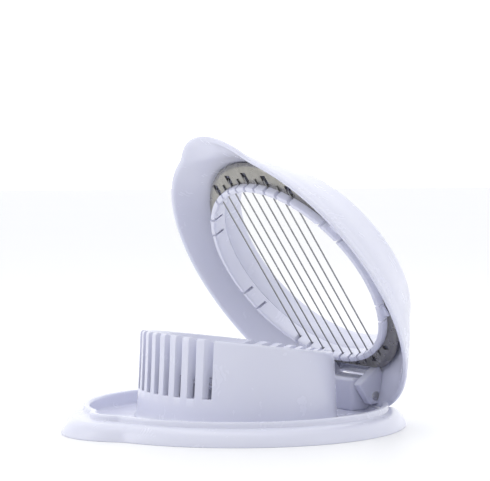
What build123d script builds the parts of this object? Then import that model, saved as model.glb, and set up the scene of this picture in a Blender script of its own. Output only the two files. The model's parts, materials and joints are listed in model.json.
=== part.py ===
from build123d import *
import os
from math import sqrt

# Egg slicer: a round tray with a slotted egg cradle, and a hinged wire lid standing open.
# Millimetres, +Z up, thumb side at -Y, hinge at +Y, wires along Y when the lid is shut.
# The lid is drawn shut and then swung open about its pin.

# Whole object
mid_y = -2.9                  # how far the middle of the standing object lies behind the cradle
open_angle = 56.0
stop_angle = 60.0

# Wires
wire_count = 9
wire_pitch = 5.0
wire_r = 0.25
wire_z = 11.35

# Tray
tray_r = 52.4
skirt = 1.9
lip_r = 46.9
lip_top = 6.5
dish_r = 44.9
floor_under = 0.6
floor_top = 2.0
lobe_y = -37.8
lobe_r = 20.4
bay_y = -38.3
bay_r = 9.4
rear_gap = 24.5
rear_pad = 3.0

# Hinge
hinge_y = 43.9
hinge_z = 6.8
pin_r = 1.5
pin_play = 0.05
pin_half = 13.5
tower_half = 9.5
tower_front = 37.3
tower_back = 47.6
tower_top = 12.3

# Cradle
cradle_x = 34.9
cradle_y = 29.1
cradle_draft = 0.05
cradle_wall = 2.0
slot_width = 2.7
slot_floor = 10.8
crown_z = 25.7
crown_slope = 7.3
bowl = (30.0, 24.5, 18.0)
bowl_z = 30.0
bowl_wall = 2.2
flare_reach = 6.5
flare_drop = 2.6
spigot_play = 0.1

# Lid
rim_z = 5.0
lid_top = 22.3
lid_wall = 1.8
mouth_x = 36.8
mouth_y = 31.7
collar_wall = 2.2
collar_low = 14.3
ear_in = 9.9
ear_out = 13.5
tab_y = -29.9
tab_r = 25.1

# Retaining ring and wire frame
ring_wall = 2.0
ring_low = 9.3
notch = 1.2
sheet = 0.6
frame_low = 11.6
frame_r = 40.2
frame_back = 36.3
window = 2.6

wire_xs = [(k - (wire_count - 1) / 2) * wire_pitch for k in range(wire_count)]
hinge = Axis((0, hinge_y, hinge_z), (1, 0, 0))


def turned(*lines, at=0.0):
    """Solid of revolution about a vertical axis at y = at, from a closed outline in radius and height."""
    return Pos(0, at, 0) * revolve(Plane.XZ * make_face(Curve() + list(lines)), Axis.Z)


def oval(x, y, low, high):
    return extrude(Pos(0, 0, low) * Ellipse(x, y), high - low)


def lofted(sections):
    """Smooth solid through level ovals given as (height, half width, half depth)."""
    return loft([Pos(0, 0, z) * Ellipse(x, y) for z, x, y in sections])


def slab(x0, x1, y0, y1, z0, z1):
    return Pos((x0 + x1) / 2, (y0 + y1) / 2, (z0 + z1) / 2) * Box(x1 - x0, y1 - y0, z1 - z0)


def both_sides(part):
    return part + mirror(part, Plane.YZ)


def skirt_round(inset):
    """The tray's convex skirt, or the hollow under it when inset."""
    return turned(
        Line((0, 0), (tray_r - inset, 0)),
        ThreePointArc((tray_r - inset, 0), (51.2 - inset, 2.7 - 0.6 * inset), (47.6 - 0.6 * inset, 4.7 - inset)),
        Polyline((47.6 - 0.6 * inset, 4.7 - inset), (0, 4.7 - inset), (0, 0)),
    )


def lobe_round(inset):
    """The thumb lobe in front, or the hollow under it when inset."""
    return turned(
        Line((0, 0), (lobe_r - inset, 0)),
        ThreePointArc((lobe_r - inset, 0), (19.1 - inset, 2.7 - 0.6 * inset), (15.4 - 0.6 * inset, 4.7 - inset)),
        Polyline((15.4 - 0.6 * inset, 4.7 - inset), (0, 4.7 - inset), (0, 0)),
        at=lobe_y,
    )


def dish(grow, low, high):
    """The tray's inside, with a shallow bay between two cusps at the front."""
    return Pos(0, 0, low) * extrude(Circle(dish_r + grow) + Pos(0, bay_y) * Circle(bay_r + grow), high - low)


def base_tray():
    lip = lip_r - dish_r
    solid = skirt_round(0) + lobe_round(0) + dish(lip, 0, lip_top)
    solid -= skirt_round(skirt) + lobe_round(skirt) - dish(lip, -1, 9) - slab(-27, 27, 30, 60, -1, 9)
    solid -= dish(0, floor_top, 20)
    solid -= dish(lip, -1, floor_under)
    solid -= slab(-rear_gap, rear_gap, 30, 60, rear_pad, 20)
    tower = slab(-tower_half, tower_half, tower_front, tower_back, floor_under, tower_top)
    tower = fillet(tower.edges().filter_by(Axis.X).group_by(Axis.Z)[-1], 2.2)
    solid += chamfer(tower.edges().filter_by(Axis.Z), 1.2)
    solid -= oval(cradle_x - 1.8, cradle_y - 1.8, -1, 5)
    solid -= Pos(0, hinge_y, hinge_z) * Rot(0, 90, 0) * Cylinder(pin_r + pin_play, 40)
    return solid


def egg_cradle():
    rise = 40.0
    top_x = cradle_x - cradle_draft * (rise - floor_top)
    top_y = cradle_y - cradle_draft * (rise - floor_top)
    solid = lofted([(floor_top, cradle_x, cradle_y), (rise, top_x, top_y)])
    crown = Pos(0, 0, crown_z) * Rot(-crown_slope, 0, 0) * Pos(0, 0, 20) * Box(100, 100, 40)
    solid -= crown
    solid = fillet(solid.faces().sort_by(Axis.Z)[-1].edges(), 1.4)
    flare = loft([
        Pos(0, 0, -flare_drop) * Ellipse(top_x - flare_reach, top_y - flare_reach),
        Pos(0, 0, 0.7) * Ellipse(top_x - 0.1, top_y - 0.1),
    ])
    solid -= Pos(0, 0, crown_z) * Rot(-crown_slope, 0, 0) * flare
    inner = lofted([
        (floor_under - 1, cradle_x - cradle_wall, cradle_y - cradle_wall),
        (rise, top_x - cradle_wall, top_y - cradle_wall),
    ])
    shell = Pos(0, 0, bowl_z) * scale(Sphere(1), by=tuple(axis + bowl_wall for axis in bowl))
    spigot = cradle_x - 1.8 - spigot_play, cradle_y - 1.8 - spigot_play
    solid += oval(*spigot, floor_under, floor_top)
    solid -= inner - shell
    solid -= Pos(0, 0, bowl_z) * scale(Sphere(1), by=bowl)
    return solid - [slab(x - slot_width / 2, x + slot_width / 2, -50, 50, slot_floor, 60) for x in wire_xs]


def lid_shell():
    skin = lofted([
        (rim_z, 50.3, 50.3001), (8.0, 48.9, 48.4), (11.5, 46.8, 44.9), (15.5, 43.9, 40.7), (19.0, 41.2, 37.0),
        (lid_top, 38.8, 33.9),
    ])
    room = lofted([
        (rim_z - 1, 49.0, 49.0001), (7.6, 47.2, 46.7), (11.0, 45.2, 43.3), (15.0, 42.3, 39.1), (18.0, 40.0, 35.8),
        (19.0, 39.3, 34.9),
    ])
    tab = turned(
        Line((0, rim_z), (tab_r, rim_z)),
        Line((tab_r, rim_z), (tab_r, 6.3)),
        ThreePointArc((tab_r, 6.3), (20.4, 8.0), (14.6, 11.8)),
        Polyline((14.6, 11.8), (0, 11.8), (0, rim_z)),
        at=tab_y,
    )
    tab_room = turned(
        Line((0, rim_z - 1), (tab_r - 1.7, rim_z - 1)),
        ThreePointArc((tab_r - 1.7, rim_z - 1), (20.1, 6.8), (13.0, 10.2)),
        Polyline((13.0, 10.2), (0, 10.2), (0, rim_z - 1)),
        at=tab_y,
    )
    collar = oval(mouth_x + collar_wall, mouth_y + collar_wall, collar_low, 25)
    ledge = oval(mouth_x + 3.4, mouth_y + 3.4, frame_low + sheet, 17)
    ledge -= oval(mouth_x + 2.1, mouth_y + 2.1, 0, 30)
    ledge &= both_sides(slab(22.5, 28.5, -50, 50, 0, 30))
    solid = skin + tab - room - tab_room + (collar & skin) + ledge
    ear = Plane.YZ * make_face(Polyline(
        (36.6, 13.2), (37.2, 3.6), (45.0, 3.6), (47.6, 7.6), (41.6, 13.2), close=True,
    ))
    ears = both_sides(Pos(ear_in, 0, 0) * extrude(ear, ear_out - ear_in))
    solid += ears
    solid -= oval(mouth_x, mouth_y, 0, 60)
    front_reach = sqrt((hinge_y - tower_front) ** 2 + (tower_top - hinge_z) ** 2) + 0.4
    back_reach = sqrt((hinge_y - tower_back) ** 2 + (tower_top - hinge_z) ** 2) + 0.4
    swept = Pos(0, hinge_y, hinge_z) * Rot(0, 90, 0) * Cylinder(front_reach, 2 * ear_in)
    swept &= slab(-ear_in, ear_in, 30, hinge_y - 3.7, 0, 30)
    swept += Pos(0, hinge_y, hinge_z) * Rot(0, 90, 0) * Cylinder(back_reach, 2 * ear_in)
    solid -= swept + slab(-ear_in, ear_in, 34.5, 60, 0, hinge_z + 1)
    solid -= Pos(0, hinge_y, hinge_z) * Rot(0, 90, 0) * Cylinder(pin_r, 40)
    solid = solid.rotate(hinge, -stop_angle) - slab(-60, 60, 30, 80, -60, rear_pad + 0.3)
    return solid.rotate(hinge, stop_angle)


def retaining_ring():
    solid = oval(mouth_x + ring_wall, mouth_y + ring_wall, ring_low, collar_low)
    clip_low = frame_low - 0.8
    for x, y in ((31.5, -17.5), (34.5, 12.0)):
        solid += both_sides(slab(x - 1.0, x + 4.6, y - 2.5, y + 2.5, clip_low, frame_low))
    solid &= oval(mouth_x + 3.3, mouth_y + 3.3, 0, 20)
    solid -= oval(mouth_x, mouth_y, 0, 60)
    for x, y in ((31.5, -17.5), (34.5, 12.0)):
        for side in (-3.0, 3.0):
            solid -= both_sides(slab(x - 4, x + 8, y + side - 0.4, y + side + 0.4, 0, collar_low - 1.2))
    return solid - [slab(x - notch / 2, x + notch / 2, -50, 50, 0, wire_z + wire_r + 0.1) for x in wire_xs]


def frame_edge(x, side):
    """Depth of the frame's inner edge at one wire, front (-1) or back (+1)."""
    return side * (mouth_y + 2.1) * sqrt(1 - (x / (mouth_x + 2.1)) ** 2)


def window_depth(side):
    return 1.5 if side > 0 else 3.2


def has_window(index, side):
    """Windows alternate along the frame, and the front ones face the tongues at the back."""
    return (index % 2 == 0) == (side < 0)


def wire_frame():
    lip_z = frame_low + 1.7
    solid = turned(
        Line((0, frame_low), (frame_r - 2.4, frame_low)),
        ThreePointArc((frame_r - 2.4, frame_low), (frame_r - 0.75, frame_low + 0.45), (frame_r, lip_z)),
        Line((frame_r, lip_z), (frame_r - sheet, lip_z)),
        ThreePointArc((frame_r - sheet, lip_z), (frame_r - 1.2, frame_low + 0.95), (frame_r - 2.6, frame_low + sheet)),
        Polyline((frame_r - 2.6, frame_low + sheet), (0, frame_low + sheet), (0, frame_low)),
    )
    solid -= oval(mouth_x + 2.1, mouth_y + 2.1, 0, 30)
    solid -= slab(-60, 60, frame_back, 60, 0, 30)
    for side in (-1, 1):
        for index in range(-1, wire_count + 1):
            x = wire_xs[0] + index * wire_pitch
            if has_window(index, side):
                near = frame_edge(x, side) + side * 0.7
                far = near + side * window_depth(side)
                solid -= slab(x - window / 2, x + window / 2, min(near, far), max(near, far), 0, frame_low + 1)
    return solid


def cutting_wire(index):
    """Straight wire, turned up through a window at one end and lying under a tongue at the other."""
    x = wire_xs[index]
    turn = x + (1.9 if index % 4 < 2 else -1.9)
    over = frame_low + sheet + wire_r
    side = -1 if has_window(index, -1) else 1
    bend = frame_edge(x, side) + side * (0.7 + window_depth(side) / 2)
    tail = frame_edge(x, -side) - side * 1.9
    path = FilletPolyline(
        (x, tail, wire_z), (x, bend, wire_z), (x, bend, over), (turn, bend, over), radius=0.45,
    )
    return sweep(Plane((x, tail, wire_z), z_dir=(0, side, 0)) * Circle(wire_r), path)


def hinge_pin():
    return Pos(0, hinge_y, hinge_z) * Rot(0, 90, 0) * Cylinder(pin_r, 2 * pin_half)


base = {"base_tray": base_tray(), "egg_cradle": egg_cradle()}
lid = {
    "lid_shell": lid_shell(),
    "retaining_ring": retaining_ring(),
    "wire_frame": wire_frame(),
    "hinge_pin": hinge_pin(),
}
for number in range(wire_count):
    lid[f"cutting_wire_{number + 1}"] = cutting_wire(number)

os.makedirs("parts", exist_ok=True)
for node, part in base.items():
    export_step(Pos(0, -mid_y, 0) * part, f"parts/{node}.step")
for node, part in lid.items():
    export_step(Pos(0, -mid_y, 0) * part.rotate(hinge, -open_angle), f"parts/{node}.step")
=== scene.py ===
import bpy, bmesh, json, math
from mathutils import Matrix, Vector


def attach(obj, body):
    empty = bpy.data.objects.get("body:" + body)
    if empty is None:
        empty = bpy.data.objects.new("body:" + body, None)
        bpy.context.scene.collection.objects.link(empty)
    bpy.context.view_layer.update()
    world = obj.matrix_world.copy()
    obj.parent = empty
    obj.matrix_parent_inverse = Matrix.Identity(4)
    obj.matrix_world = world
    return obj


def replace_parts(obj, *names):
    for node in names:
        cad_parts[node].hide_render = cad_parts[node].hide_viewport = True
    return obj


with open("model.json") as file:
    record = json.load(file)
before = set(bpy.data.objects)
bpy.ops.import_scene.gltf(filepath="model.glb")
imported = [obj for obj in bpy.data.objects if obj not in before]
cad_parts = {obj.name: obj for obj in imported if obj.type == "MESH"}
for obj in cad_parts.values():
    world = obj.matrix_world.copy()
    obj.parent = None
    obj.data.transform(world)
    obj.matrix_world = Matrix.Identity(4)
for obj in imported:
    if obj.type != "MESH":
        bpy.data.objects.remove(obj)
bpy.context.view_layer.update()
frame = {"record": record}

mm = 0.001
scene = bpy.context.scene
record = frame["record"]
joint = record["behaviour"]["joints"][0]
hingePoint = Vector(joint["pos_m"])
cradleY = hingePoint.y - 0.0439   # the cradle's middle, 43.9 mm in front of the hinge
openAngle = math.radians(-56)


# Loops of points round an upright axis, joined into a wall

def circleAt(turn, radius, y=0.0):
    # distance from the middle to a circle centred at y, straight out at this turn; 0 if it misses
    side = y * math.cos(turn)
    inside = radius * radius - side * side
    if inside <= 0:
        return 0.0
    return y * math.sin(turn) + math.sqrt(inside)


def lobed(turn, radius, lobeRadius, lobeY, soft):
    # a circle with a lobe in front, run together over a soft corner
    first = circleAt(turn, radius)
    second = circleAt(turn, lobeRadius, lobeY) if lobeRadius > 0 else 0.0
    gap = first - second
    return 0.5 * (first + second + math.sqrt(gap * gap + soft * soft))


def ringWall(name, loops, count, closed=True, capEnds=False):
    mesh = bmesh.new()
    turnOf = mesh.verts.layers.float.new("turn")
    made = bmesh.ops.create_circle(mesh, cap_ends=False, radius=1.0, segments=count)
    for vert in made["verts"]:
        vert[turnOf] = math.atan2(vert.co.y, vert.co.x)
    edges = list(mesh.edges)
    firstEdges = edges

    def place(verts, loop):
        for vert in verts:
            x, y, z = loop(vert[turnOf])
            vert.co = Vector((x, y, z)) * mm

    place(list(mesh.verts), loops[0])
    for loop in loops[1:]:
        grown = bmesh.ops.extrude_edge_only(mesh, edges=edges)["geom"]
        edges = [item for item in grown if isinstance(item, bmesh.types.BMEdge) and item.is_boundary]
        verts = {vert for edge in edges for vert in edge.verts}
        place(verts, loop)
    if closed:
        bmesh.ops.bridge_loops(mesh, edges=firstEdges + edges)
    if capEnds:
        bmesh.ops.holes_fill(mesh, edges=[edge for edge in mesh.edges if edge.is_boundary], sides=0)
    bmesh.ops.recalc_face_normals(mesh, faces=list(mesh.faces))
    return toObject(name, mesh)


def toObject(name, mesh):
    data = bpy.data.meshes.new(name)
    mesh.to_mesh(data)
    mesh.free()
    thing = bpy.data.objects.new(name, data)
    scene.collection.objects.link(thing)
    return thing


def addBlock(mesh, low, high, bevel=0.0, segments=3):
    # a block between two corners in millimetres, with its edges rounded over
    made = bmesh.ops.create_cube(mesh, size=1.0)["verts"]
    size = [(high[i] - low[i]) * mm for i in range(3)]
    middle = [(high[i] + low[i]) / 2 * mm for i in range(3)]
    bmesh.ops.scale(mesh, vec=size, verts=made)
    bmesh.ops.translate(mesh, vec=middle, verts=made)
    if bevel > 0:
        edges = list({edge for vert in made for edge in vert.link_edges})
        bmesh.ops.bevel(
            mesh, geom=edges, offset=bevel * mm, affect="EDGES", segments=segments, profile=0.5, material=-1
        )


def addRod(mesh, radius, x0, x1, y, z, segments=32):
    # a rod along X
    made = bmesh.ops.create_cone(
        mesh, cap_ends=True, segments=segments, radius1=radius * mm, radius2=radius * mm, depth=(x1 - x0) * mm
    )["verts"]
    bmesh.ops.rotate(mesh, verts=made, cent=(0, 0, 0), matrix=Matrix.Rotation(math.pi / 2, 3, "Y"))
    bmesh.ops.translate(mesh, verts=made, vec=Vector(((x0 + x1) / 2, y, z)) * mm)
    return made


def cutAway(thing, cutter):
    # takes the cutter's shape out of the piece for good
    trim = thing.modifiers.new("cut", "BOOLEAN")
    trim.operation = "DIFFERENCE"
    trim.solver = "EXACT"
    trim.object = cutter
    cutter.hide_render = True
    keepResult(thing)
    bpy.data.objects.remove(cutter)


def keepResult(thing):
    graph = bpy.context.evaluated_depsgraph_get()
    fresh = bpy.data.meshes.new_from_object(thing.evaluated_get(graph))
    thing.modifiers.clear()
    old = thing.data
    thing.data = fresh
    bpy.data.meshes.remove(old)


def rounded(thing, width, segments=2, angle=50):
    soft = thing.modifiers.new("softEdges", "BEVEL")
    soft.width = width * mm
    soft.segments = segments
    soft.limit_method = "ANGLE"
    soft.angle_limit = math.radians(angle)
    soft.harden_normals = False
    keepResult(thing)


def settle(thing, onLid, look, smoothAngle=35):
    # moves the shape to its place in the row frame, and swings lid pieces open with the hinge
    mesh = bmesh.new()
    mesh.from_mesh(thing.data)
    bmesh.ops.translate(mesh, vec=(0, cradleY, 0), verts=list(mesh.verts))
    if onLid:
        swing = Matrix.Rotation(openAngle, 3, "X")
        bmesh.ops.rotate(mesh, cent=hingePoint, matrix=swing, verts=list(mesh.verts))
    for face in mesh.faces:
        face.smooth = True
    for edge in mesh.edges:
        if edge.is_manifold and edge.calc_face_angle(0.0) > math.radians(smoothAngle):
            edge.smooth = False
    mesh.to_mesh(thing.data)
    mesh.free()
    thing.data.materials.clear()
    thing.data.materials.append(look)
    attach(thing, "lid" if onLid else "base")


def material(name):
    made = bpy.data.materials.new(name)
    made.use_nodes = True
    tree = made.node_tree
    return made, tree, tree.nodes["Principled BSDF"]


def link(tree, out, into):
    tree.links.new(out, into)


def noise(tree, place, scale, detail=3.0, rough=0.5):
    node = tree.nodes.new("ShaderNodeTexNoise")
    node.inputs["Scale"].default_value = scale
    node.inputs["Detail"].default_value = detail
    node.inputs["Roughness"].default_value = rough
    link(tree, place, node.inputs["Vector"])
    return node.outputs["Fac"]


def spread(tree, value, low, high, start=0.3, end=0.7):
    node = tree.nodes.new("ShaderNodeMapRange")
    node.inputs["From Min"].default_value = start
    node.inputs["From Max"].default_value = end
    node.inputs["To Min"].default_value = low
    node.inputs["To Max"].default_value = high
    link(tree, value, node.inputs["Value"])
    return node.outputs["Result"]


def tint(tree, value, dark, light):
    node = tree.nodes.new("ShaderNodeMix")
    node.data_type = "RGBA"
    node.inputs["A"].default_value = (*dark, 1)
    node.inputs["B"].default_value = (*light, 1)
    link(tree, value, node.inputs["Factor"])
    return node.outputs["Result"]


def bump(tree, height, distance, strength=1.0, under=None):
    node = tree.nodes.new("ShaderNodeBump")
    node.inputs["Distance"].default_value = distance
    node.inputs["Strength"].default_value = strength
    link(tree, height, node.inputs["Height"])
    if under is not None:
        link(tree, under, node.inputs["Normal"])
    return node.outputs["Normal"]


# White moulding: glossy, with a faint orange peel, cloudy gloss and fine rubs from use and washing
plasticLook = {
    "light": (0.745, 0.755, 0.865), "dark": (0.715, 0.725, 0.845), "glossLow": 0.20, "glossHigh": 0.27,
}


def whitePlastic(name, look):
    made, tree, shader = material(name)
    place = tree.nodes.new("ShaderNodeTexCoord").outputs["Object"]
    cloud = noise(tree, place, 45, 4)
    link(tree, tint(tree, cloud, look["dark"], look["light"]), shader.inputs["Base Color"])
    rubs = tree.nodes.new("ShaderNodeTexWave")
    rubs.inputs["Scale"].default_value = 260
    rubs.inputs["Distortion"].default_value = 14
    rubs.inputs["Detail"].default_value = 3
    rubs.inputs["Detail Scale"].default_value = 0.7
    link(tree, place, rubs.inputs["Vector"])
    gloss = tree.nodes.new("ShaderNodeMath")
    gloss.operation = "MULTIPLY_ADD"
    gloss.inputs[1].default_value = 0.02
    link(tree, rubs.outputs["Fac"], gloss.inputs[0])
    link(tree, spread(tree, noise(tree, place, 150, 5), look["glossLow"], look["glossHigh"]), gloss.inputs[2])
    link(tree, gloss.outputs["Value"], shader.inputs["Roughness"])
    peel = bump(tree, noise(tree, place, 420, 2), 0.00001, 0.3)
    link(tree, bump(tree, noise(tree, place, 45, 1), 0.00006, 0.15, peel), shader.inputs["Normal"])
    shader.inputs["IOR"].default_value = 1.5
    shader.inputs["Subsurface Weight"].default_value = 0.1
    shader.inputs["Subsurface Radius"].default_value = (0.004, 0.004, 0.005)
    return made


def steel(name, light, dark, glossLow, glossHigh, stretch):
    made, tree, shader = material(name)
    place = tree.nodes.new("ShaderNodeTexCoord").outputs["Object"]
    turn = tree.nodes.new("ShaderNodeMapping")
    turn.inputs["Scale"].default_value = stretch
    link(tree, place, turn.inputs["Vector"])
    grain = noise(tree, turn.outputs["Vector"], 900, 4, 0.6)
    link(tree, tint(tree, grain, dark, light), shader.inputs["Base Color"])
    link(tree, spread(tree, noise(tree, place, 300, 4), glossLow, glossHigh), shader.inputs["Roughness"])
    link(tree, bump(tree, grain, 0.00001, 0.4), shader.inputs["Normal"])
    shader.inputs["Metallic"].default_value = 1.0
    return made


white = whitePlastic("whiteMoulding", plasticLook)
frameSteel = steel("pressedSteel", (0.40, 0.39, 0.36), (0.26, 0.25, 0.23), 0.22, 0.38, (1, 0.12, 0.12))
pinSteel = steel("turnedPin", (0.62, 0.62, 0.62), (0.5, 0.5, 0.5), 0.22, 0.35, (0.1, 1, 1))
wireSteel = steel("drawnWire", (0.36, 0.36, 0.36), (0.24, 0.24, 0.24), 0.25, 0.35, (1, 0.1, 0.1))
print("finishes ready")

# Tray: floor, rounded lip, convex skirt with a thumb lobe, hollow underneath
tray = {
    "floorTop": 2.0, "floorUnder": 0.6, "holeX": 33.1, "holeY": 27.3, "dish": 44.9, "bayY": -38.3,
    "bayRadius": 9.4, "lobeY": -37.8, "gap": 24.5, "pad": 3.0, "steps": 384,
}


def trayLoop(radius, lobeRadius, lobeY, z, soft=0.8):
    def loop(turn):
        reach = lobed(turn, radius, lobeRadius, lobeY, soft)
        return reach * math.cos(turn), reach * math.sin(turn), z
    return loop


def ovalLoop(x, y, z, tilt=0.0):
    def loop(turn):
        across = x * y / math.hypot(y * math.cos(turn), x * math.sin(turn))
        depth = across * math.sin(turn)
        return across * math.cos(turn), depth, z + tilt * depth
    return loop


def makeTray():
    t = tray
    bay = t["bayRadius"]
    lobe = t["lobeY"]
    skirtLine = [  # radius of the round body, radius of the lobe, height
        (47.4, 15.2, 4.72), (48.6, 16.4, 4.55), (49.8, 17.7, 4.05), (50.8, 18.7, 3.25), (51.5, 19.45, 2.3),
        (52.0, 20.0, 1.2), (52.3, 20.3, 0.35), (52.3, 20.3, 0.08), (52.1, 20.1, 0.0), (51.2, 19.2, 0.0),
        (50.6, 18.6, 0.1), (50.2, 18.2, 0.8), (49.4, 17.4, 1.8), (48.2, 16.2, 2.6), (46.9, 14.9, 2.8),
    ]
    loops = [ovalLoop(t["holeX"], t["holeY"], t["floorTop"])]
    loops.append(ovalLoop(t["holeX"] + 1.5, t["holeY"] + 1.5, t["floorTop"]))
    for radius, z in (  # up the inside of the dish, over the lip and down to the skirt
        (42.5, 2.0), (44.0, 2.05), (44.6, 2.35), (44.85, 2.9), (44.9, 4.4), (44.92, 5.7), (45.05, 6.15),
        (45.35, 6.42), (45.8, 6.5), (46.2, 6.5), (46.6, 6.4), (46.85, 6.1), (46.9, 5.6), (46.9, 5.0), (47.0, 4.8),
    ):
        loops.append(trayLoop(radius, bay + radius - t["dish"], t["bayY"], z, 0.35))
    for radius, lobeRadius, z in skirtLine:
        loops.append(trayLoop(radius, lobeRadius, lobe, z))
    for radius, z in ((46.5, 2.6), (46.4, 1.2), (46.2, 0.65), (45.8, 0.6)):
        loops.append(trayLoop(radius, bay + radius - t["dish"], t["bayY"], z, 0.35))
    loops.append(ovalLoop(t["holeX"], t["holeY"], t["floorUnder"]))
    piece = ringWall("trayMoulding", loops, t["steps"])
    cutter = bmesh.new()
    addBlock(cutter, (-t["gap"], 30, t["pad"]), (t["gap"], 60, 20))
    cutAway(piece, toObject("trayCutter", cutter))
    rounded(piece, 0.25, 2, 60)
    settle(piece, False, white)
    return piece


trayPiece = makeTray()
print("tray moulded")

# Hinge tower at the back of the tray, bored for the pin
tower = {"half": 9.5, "front": 37.3, "back": 47.6, "foot": 1.6, "top": 12.3, "bore": 1.55, "y": 43.9, "z": 6.8}


def makeTower():
    mesh = bmesh.new()
    low = (-tower["half"], tower["front"], tower["foot"])
    addBlock(mesh, low, (tower["half"], tower["back"], tower["top"]), 1.3, 5)
    piece = toObject("hingeTower", mesh)
    cutter = bmesh.new()
    addRod(cutter, tower["bore"], -20, 20, tower["y"], tower["z"], 48)
    cutAway(piece, toObject("boreCutter", cutter))
    settle(piece, False, white)
    return piece


towerPiece = makeTower()
print("tower moulded")

# Cradle: drafted oval wall with a sloping flared crown, egg bowl inside, slots for the wires
cradle = {
    "footX": 34.9, "footY": 29.1, "draft": 0.05, "crown": 25.7, "slope": -0.128, "bowl": (30.0, 24.5, 18.0),
    "bowlZ": 30.0, "wall": 2.0, "shell": 2.2, "slot": 2.7, "slotFloor": 10.8, "pitch": 5.0, "wires": 9, "steps": 320,
}


def makeCradle():
    c = cradle
    slope = c["slope"]

    def wallAt(z, inset):
        shrink = inset + c["draft"] * (z - 2)
        return c["footX"] - shrink, c["footY"] - shrink

    def bowlLoop(z, extra, tilt=0.0):
        down = max(0.0, 1 - ((z - c["bowlZ"]) / (c["bowl"][2] + extra)) ** 2)
        size = math.sqrt(down)
        return ovalLoop((c["bowl"][0] + extra) * size, (c["bowl"][1] + extra) * size, z, tilt)

    loops = []
    for z in (12.02, 12.1, 12.3, 12.7, 13.3, 14.2, 15.5, 17.0, 18.8, 20.6):
        loops.append(bowlLoop(z, 0))
    x, y = wallAt(c["crown"], 0)
    for inset, drop in ((7.0, 3.1), (6.0, 2.5), (4.6, 1.75), (3.2, 1.05), (2.2, 0.55), (1.6, 0.25), (1.1, 0.1),
                        (0.6, 0.18), (0.25, 0.45), (0.06, 0.9), (0.0, 1.5)):
        loops.append(ovalLoop(x - inset, y - inset, c["crown"] - drop, slope))
    for z in (20, 16, 12, 8, 5, 3.2, 2.5):
        wx, wy = wallAt(z, 0)
        grow = 0.5 * max(0.0, (3.2 - z) / 0.7) ** 2 if z < 3.2 else 0.0
        loops.append(ovalLoop(wx + grow, wy + grow, z))
    wx, wy = wallAt(2, 0)
    loops.append(ovalLoop(wx + 0.75, wy + 0.75, 2.05))
    loops.append(ovalLoop(c["footX"] - 1.9, c["footY"] - 1.9, 1.95))
    loops.append(ovalLoop(c["footX"] - 1.9, c["footY"] - 1.9, 0.75))
    loops.append(ovalLoop(c["footX"] - 2.05, c["footY"] - 2.05, 0.62))
    for z in (0.7, 5, 9, 12, 15, 17.2):
        wx, wy = wallAt(z, c["wall"])
        loops.append(ovalLoop(wx, wy, z))
    for z in (16.6, 15.0, 13.4, 12.0, 11.0, 10.4, 10.05, 9.9, 9.82):
        loops.append(bowlLoop(z, c["shell"]))
    piece = ringWall("eggCradleMoulding", loops, c["steps"], closed=False, capEnds=True)
    cutter = bmesh.new()
    for index in range(c["wires"]):
        x = (index - (c["wires"] - 1) / 2) * c["pitch"]
        addBlock(cutter, (x - c["slot"] / 2, -50, c["slotFloor"]), (x + c["slot"] / 2, 50, 60))
    cutAway(piece, toObject("slotCutter", cutter))
    rounded(piece, 0.28, 2, 48)
    settle(piece, False, white)
    return piece


cradlePiece = makeCradle()
print("cradle moulded")

# Lid: round rim with a thumb tab, domed wall, oval mouth with a deep collar
lidShape = {"tabY": -29.9, "steps": 384, "earIn": 9.9, "earOut": 13.5}


def lidLoop(x, y, z, tab=0.0, soft=1.2):
    def loop(turn):
        across = x * y / math.hypot(y * math.cos(turn), x * math.sin(turn))
        lobe = circleAt(turn, tab, lidShape["tabY"]) if tab > 0 else 0.0
        gap = across - lobe
        reach = 0.5 * (across + lobe + math.sqrt(gap * gap + soft * soft)) if tab > 0 else across
        return reach * math.cos(turn), reach * math.sin(turn), z
    return loop


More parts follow.
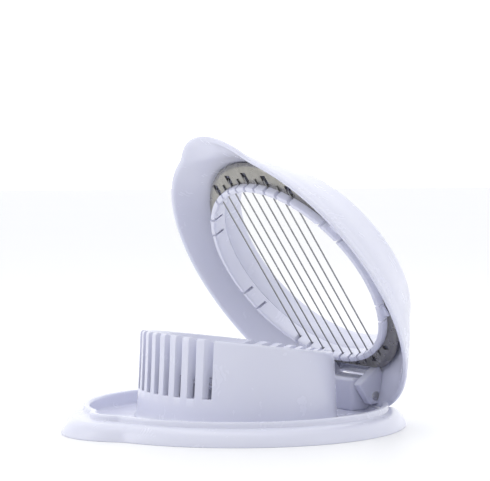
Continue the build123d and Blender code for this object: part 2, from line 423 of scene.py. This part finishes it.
def makeLid():
    s = lidShape
    loops = []
    for x, y, z, tab in (  # outside, from the rim's underside up to the mouth
        (49.5, 49.5, 5.02, 24.2), (50.0, 50.0, 5.05, 24.8), (50.25, 50.25, 5.3, 25.1), (50.2, 50.18, 5.8, 25.05),
        (49.9, 49.85, 6.35, 24.5), (49.5, 49.35, 6.8, 23.0), (49.2, 48.9, 7.4, 21.4), (48.9, 48.4, 8.0, 20.3),
        (48.2, 47.3, 9.0, 18.4), (47.5, 46.1, 10.2, 16.6), (46.8, 44.9, 11.5, 14.9), (45.4, 42.9, 13.5, 12.4),
        (43.9, 40.7, 15.5, 9.8), (42.5, 38.8, 17.3, 7.2), (41.2, 37.0, 19.0, 4.8), (40.1, 35.55, 20.6, 0),
        (39.4, 34.6, 21.6, 0), (39.0, 34.1, 22.05, 0), (38.5, 33.5, 22.27, 0), (37.8, 32.8, 22.3, 0),
        (37.2, 32.15, 22.15, 0), (36.88, 31.8, 21.7, 0), (36.8, 31.7, 21.0, 0), (36.8, 31.7, 18.0, 0),
        (36.8, 31.7, 14.6, 0), (36.95, 31.85, 14.35, 0), (37.2, 32.1, 14.3, 0), (38.6, 33.5, 14.3, 0),
        (38.9, 33.8, 14.45, 0), (39.0, 33.9, 14.8, 0), (39.0, 33.9, 17.6, 0), (39.1, 34.2, 18.3, 0),
        (39.5, 34.9, 18.6, 0), (40.2, 36.0, 17.9, 0), (41.0, 37.2, 16.9, 0), (42.3, 39.1, 15.0, 0),
        (43.8, 41.3, 13.0, 9.4), (45.2, 43.3, 11.0, 12.0), (46.3, 45.1, 9.2, 14.7), (47.2, 46.7, 7.6, 18.4),
        (47.9, 47.6, 6.6, 20.8), (48.5, 48.4, 5.7, 22.6), (48.9, 48.9, 5.2, 23.5),
    ):
        loops.append(lidLoop(x, y, z, tab))
    piece = ringWall("lidMoulding", loops, s["steps"])
    rise = tower["top"] - tower["z"]
    for reach, front in ((math.hypot(tower["y"] - tower["front"], rise) + 0.4, True),
                         (math.hypot(tower["back"] - tower["y"], rise) + 0.4, False)):
        cutter = bmesh.new()
        addRod(cutter, reach, -s["earIn"], s["earIn"], tower["y"], tower["z"], 64)
        if front:  # only the side towards the cradle, so the wall above the tower stays
            bmesh.ops.bisect_plane(
                cutter, geom=cutter.verts[:] + cutter.edges[:] + cutter.faces[:], clear_outer=True,
                plane_co=Vector((0, tower["y"] - 3.7, 0)) * mm, plane_no=(0, 1, 0),
            )
            bmesh.ops.holes_fill(cutter, edges=[edge for edge in cutter.edges if edge.is_boundary], sides=0)
        cutAway(piece, toObject("towerCutter", cutter))
    cutter = bmesh.new()
    addBlock(cutter, (-s["earIn"], 34.5, -5), (s["earIn"], 60, 7.8))
    cutAway(piece, toObject("gapCutter", cutter))
    cutter = bmesh.new()
    addBlock(cutter, (-60, 20, -60), (60, 90, 3.3))
    bmesh.ops.rotate(
        cutter, verts=list(cutter.verts), cent=Vector((0, tower["y"], tower["z"])) * mm,
        matrix=Matrix.Rotation(math.radians(60), 3, "X"),
    )
    cutAway(piece, toObject("backCutter", cutter))
    rounded(piece, 0.2, 2, 60)
    settle(piece, True, white)
    return piece


lidPiece = makeLid()
print("lid moulded")

# Ears: the lid's two hinge cheeks
ear = {"outline": ((36.6, 13.2), (37.2, 3.6), (45.0, 3.6), (47.3, 7.6), (41.6, 13.2)), "bevel": 0.5}


def makeEars():
    mesh = bmesh.new()
    for side in (-1, 1):
        inner = side * lidShape["earIn"] * mm
        verts = [mesh.verts.new((inner, y * mm, z * mm)) for y, z in ear["outline"]]
        face = mesh.faces.new(verts)
        grown = bmesh.ops.extrude_face_region(mesh, geom=[face])["geom"]
        moved = [item for item in grown if isinstance(item, bmesh.types.BMVert)]
        thick = side * (lidShape["earOut"] - lidShape["earIn"]) * mm
        bmesh.ops.translate(mesh, vec=(thick, 0, 0), verts=moved)
    bmesh.ops.recalc_face_normals(mesh, faces=list(mesh.faces))
    bmesh.ops.bevel(
        mesh, geom=list(mesh.edges), offset=ear["bevel"] * mm, affect="EDGES", segments=4, profile=0.5, material=-1
    )
    piece = toObject("hingeEars", mesh)
    cutter = bmesh.new()
    addRod(cutter, 1.5, -20, 20, tower["y"], tower["z"], 48)
    cutAway(piece, toObject("earCutter", cutter))
    settle(piece, True, white)
    return piece


earPiece = makeEars()
print("ears moulded")

# Retaining ring under the collar, notched for the wires, with four snap fingers
ring = {"outX": 38.8, "outY": 33.7, "notch": 1.2, "fingers": ((31.5, -17.5), (34.5, 12.0))}


def wireX(index):
    return (index - (cradle["wires"] - 1) / 2) * cradle["pitch"]


def makeRing():
    r = ring
    loops = []
    for inset, z in ((0.3, 14.28), (0.05, 14.2), (0.0, 13.9), (0.0, 11.0), (0.05, 9.75), (0.25, 9.42), (0.6, 9.3),
                     (1.4, 9.3), (1.75, 9.42), (1.95, 9.75), (2.0, 10.2), (2.0, 13.9), (1.95, 14.2), (1.7, 14.28)):
        loops.append(ovalLoop(r["outX"] - inset, r["outY"] - inset, z))
    piece = ringWall("retainingRing", loops, 320)
    cutter = bmesh.new()
    for index in range(cradle["wires"]):
        x = wireX(index)
        addBlock(cutter, (x - r["notch"] / 2, -50, 5), (x + r["notch"] / 2, 50, 11.7))
    cutAway(piece, toObject("notchCutter", cutter))
    cutter = bmesh.new()
    for x, y in r["fingers"]:
        for side in (-1, 1):
            for edge in (-3.0, 3.0):
                low = min(side * (x - 4), side * (x + 8))
                addBlock(cutter, (low, y + edge - 0.4, 5), (low + 12, y + edge + 0.4, 13.1))
    cutAway(piece, toObject("slitCutter", cutter))
    lugs = bmesh.new()
    lugs.from_mesh(piece.data)
    for x, y in r["fingers"]:
        for side in (-1, 1):
            reach = r["outX"] * math.sqrt(1 - (y / r["outY"]) ** 2)
            low = sorted((side * (reach - 1.2), side * (reach + 1.0)))
            addBlock(lugs, (low[0], y - 1.8, 10.8), (low[1], y + 1.8, 11.58), 0.15, 2)
    lugs.to_mesh(piece.data)
    lugs.free()
    rounded(piece, 0.12, 1, 60)
    settle(piece, True, white)
    return piece


ringPiece = makeRing()
print("ring moulded")

# Pressed steel frame: flat band with an upturned edge, windows, and tongues between them
band = {"low": 11.6, "sheet": 0.6, "radius": 40.2, "inX": 38.9, "inY": 33.8, "back": 36.3, "window": 2.6}


def bandEdge(x, side):
    return side * band["inY"] * math.sqrt(1 - (x / band["inX"]) ** 2)


def windowDepth(side):
    return 1.5 if side > 0 else 3.2


def hasWindow(index, side):
    return (index % 2 == 0) == (side < 0)


def makeBand():
    b = band
    low, high = b["low"], b["low"] + b["sheet"]
    loops = [ovalLoop(b["inX"], b["inY"], low)]
    for radius, z in ((37.8, 0.0), (38.8, 0.12), (39.45, 0.45), (39.95, 1.0), (40.2, 1.7), (40.0, 1.78), (39.7, 1.75),
                      (39.4, 1.35), (38.9, 0.92), (38.3, 0.7), (37.6, 0.6)):
        def flatRound(turn, radius=radius, z=z):
            edge = b["inX"] * b["inY"] / math.hypot(b["inY"] * math.cos(turn), b["inX"] * math.sin(turn))
            reach = max(radius, edge + 0.05 + 0.02 * (radius - 37))
            return reach * math.cos(turn), reach * math.sin(turn), low + z
        loops.append(flatRound)
    loops.append(ovalLoop(b["inX"] + 0.3, b["inY"] + 0.3, high))
    loops.append(ovalLoop(b["inX"], b["inY"], high - 0.05))
    piece = ringWall("wireBand", loops, 320)
    cutter = bmesh.new()
    addBlock(cutter, (-60, b["back"], 0), (60, 60, 30))
    cutAway(piece, toObject("backCutter", cutter))
    cutter = bmesh.new()
    for side in (-1, 1):
        for index in range(-1, cradle["wires"] + 1):
            if hasWindow(index, side):
                x = wireX(index)
                near = bandEdge(x, side) + side * 0.7
                far = near + side * windowDepth(side)
                low, high = sorted((near, far))
                addBlock(cutter, (x - b["window"] / 2, low, 5), (x + b["window"] / 2, high, b["low"] + 1.0))
    cutAway(piece, toObject("windowCutter", cutter))
    rounded(piece, 0.08, 1, 60)
    settle(piece, True, frameSteel)
    return piece


bandPiece = makeBand()
print("band pressed")

# Wires: pulled straight, turned up through a window at one end, each with a small curl there
wireLook = {"radius": 0.24, "height": 11.35}


def makeWire(index):
    x = wireX(index)
    z = wireLook["height"]
    turn = 1.9 if index % 4 < 2 else -1.9
    over = band["low"] + band["sheet"] + 0.25
    side = -1 if hasWindow(index, -1) else 1
    bend = bandEdge(x, side) + side * (0.7 + windowDepth(side) / 2)
    tail = bandEdge(x, -side) - side * 1.8
    curve = bpy.data.curves.new(f"cuttingWire{index + 1}", "CURVE")
    curve.dimensions = "3D"
    curve.bevel_depth = wireLook["radius"] * mm
    curve.bevel_resolution = 3
    curve.resolution_u = 6
    line = curve.splines.new("NURBS")
    route = (
        (x, tail, z), (x, tail * 0.9, z), (x, 0, z), (x, bend * 0.9, z), (x, bend - side * 0.3, z),
        (x, bend, z + 0.15), (x, bend, over - 0.1), (x + turn * 0.15, bend, over), (x + turn * 0.6, bend, over),
        (x + turn, bend - side * 0.1, over),
    )
    line.points.add(len(route) - 1)
    for point, place in zip(line.points, route):
        point.co = (*(Vector(place) * mm), 1)
    line.order_u = 3
    line.use_endpoint_u = True
    holder = bpy.data.objects.new("wireCurve", curve)
    scene.collection.objects.link(holder)
    graph = bpy.context.evaluated_depsgraph_get()
    data = bpy.data.meshes.new_from_object(holder.evaluated_get(graph))
    bpy.data.objects.remove(holder)
    piece = bpy.data.objects.new(f"cuttingWire{index + 1}", data)
    scene.collection.objects.link(piece)
    mesh = bmesh.new()
    mesh.from_mesh(data)
    bmesh.ops.holes_fill(mesh, edges=[edge for edge in mesh.edges if edge.is_boundary], sides=0)
    bmesh.ops.recalc_face_normals(mesh, faces=list(mesh.faces))
    mesh.to_mesh(data)
    mesh.free()
    settle(piece, True, wireSteel, 60)
    return piece


for index in range(cradle["wires"]):
    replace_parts(makeWire(index), f"cutting_wire_{index + 1}")
print("wires strung")

# Hinge pin with rounded ends
def makePin():
    mesh = bmesh.new()
    addRod(mesh, 1.5, -13.5, 13.5, tower["y"], tower["z"], 48)
    ends = [edge for edge in mesh.edges if abs(edge.verts[0].co.x - edge.verts[1].co.x) < 1e-7]
    bmesh.ops.bevel(mesh, geom=ends, offset=0.3 * mm, affect="EDGES", segments=3, profile=0.5, material=-1)
    piece = toObject("hingePinRod", mesh)
    settle(piece, True, pinSteel)
    return piece


pinPiece = makePin()
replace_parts(trayPiece, "base_tray")
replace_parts(towerPiece, "base_tray")
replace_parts(cradlePiece, "egg_cradle")
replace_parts(lidPiece, "lid_shell")
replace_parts(earPiece, "lid_shell")
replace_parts(ringPiece, "retaining_ring")
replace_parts(bandPiece, "wire_frame")
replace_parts(pinPiece, "hinge_pin")
print("pieces in place")

# Floor, sky, lights and camera

def makeFloor():
    mesh = bmesh.new()
    bmesh.ops.create_grid(mesh, x_segments=2, y_segments=2, size=6.0)
    floor = toObject("paleFloor", mesh)
    look, tree, shader = material("paleSweep")
    place = tree.nodes.new("ShaderNodeTexCoord").outputs["Object"]
    shade = tint(tree, noise(tree, place, 3), (0.93, 0.93, 0.935), (0.95, 0.95, 0.955))
    link(tree, shade, shader.inputs["Base Color"])
    shader.inputs["Roughness"].default_value = 0.5
    floor.data.materials.append(look)


makeFloor()
scene.view_settings.view_transform = "Standard"
world = bpy.data.worlds.new("studio")
scene.world = world
world.use_nodes = True
sky = world.node_tree
skyPlace = sky.nodes.new("ShaderNodeTexCoord").outputs["Generated"]
turnSky = sky.nodes.new("ShaderNodeMapping")
turnSky.vector_type = "POINT"
turnSky.inputs["Rotation"].default_value = (0, 0, math.radians(-146.7))  # dim towards the camera
link(sky, skyPlace, turnSky.inputs["Vector"])
fade = sky.nodes.new("ShaderNodeSeparateXYZ")
link(sky, turnSky.outputs["Vector"], fade.inputs["Vector"])
glow = spread(sky, fade.outputs["X"], 0.62, 1.35, -0.9, 0.9)
link(sky, glow, sky.nodes["Background"].inputs["Strength"])
sky.nodes["Background"].inputs["Color"].default_value = (0.97, 0.98, 1.0, 1)


def softBox(name, place, aim, width, depth, power):
    data = bpy.data.lights.new(name, "AREA")
    data.shape = "RECTANGLE"
    data.size = width
    data.size_y = depth
    data.energy = power
    lamp = bpy.data.objects.new(name, data)
    lamp.location = place
    lamp.rotation_euler = (Vector(aim) - Vector(place)).to_track_quat("-Z", "Y").to_euler()
    scene.collection.objects.link(lamp)


softBox("overheadBox", (-0.05, 0.1, 0.7), (0, 0, 0.03), 0.6, 0.6, 0.9)
softBox("leftBox", (-0.25, -0.6, 0.3), (0, 0, 0.04), 0.3, 0.5, 0.7)
softBox("rightBox", (0.65, 0.35, 0.35), (0, 0, 0.04), 0.3, 0.5, 0.25)

cameraData = bpy.data.cameras.new("camera")
cameraData.lens = 136.06
cameraData.sensor_width = 36.0
cameraData.clip_start = 0.01
camera = bpy.data.objects.new("camera", cameraData)
camera.location = (0.4773, -0.3102 + cradleY, 0.0780)
camera.rotation_euler = Vector((0.8352, -0.5486, 0.0380)).to_track_quat("Z", "Y").to_euler()
scene.collection.objects.link(camera)
scene.camera = camera
print("studio ready")
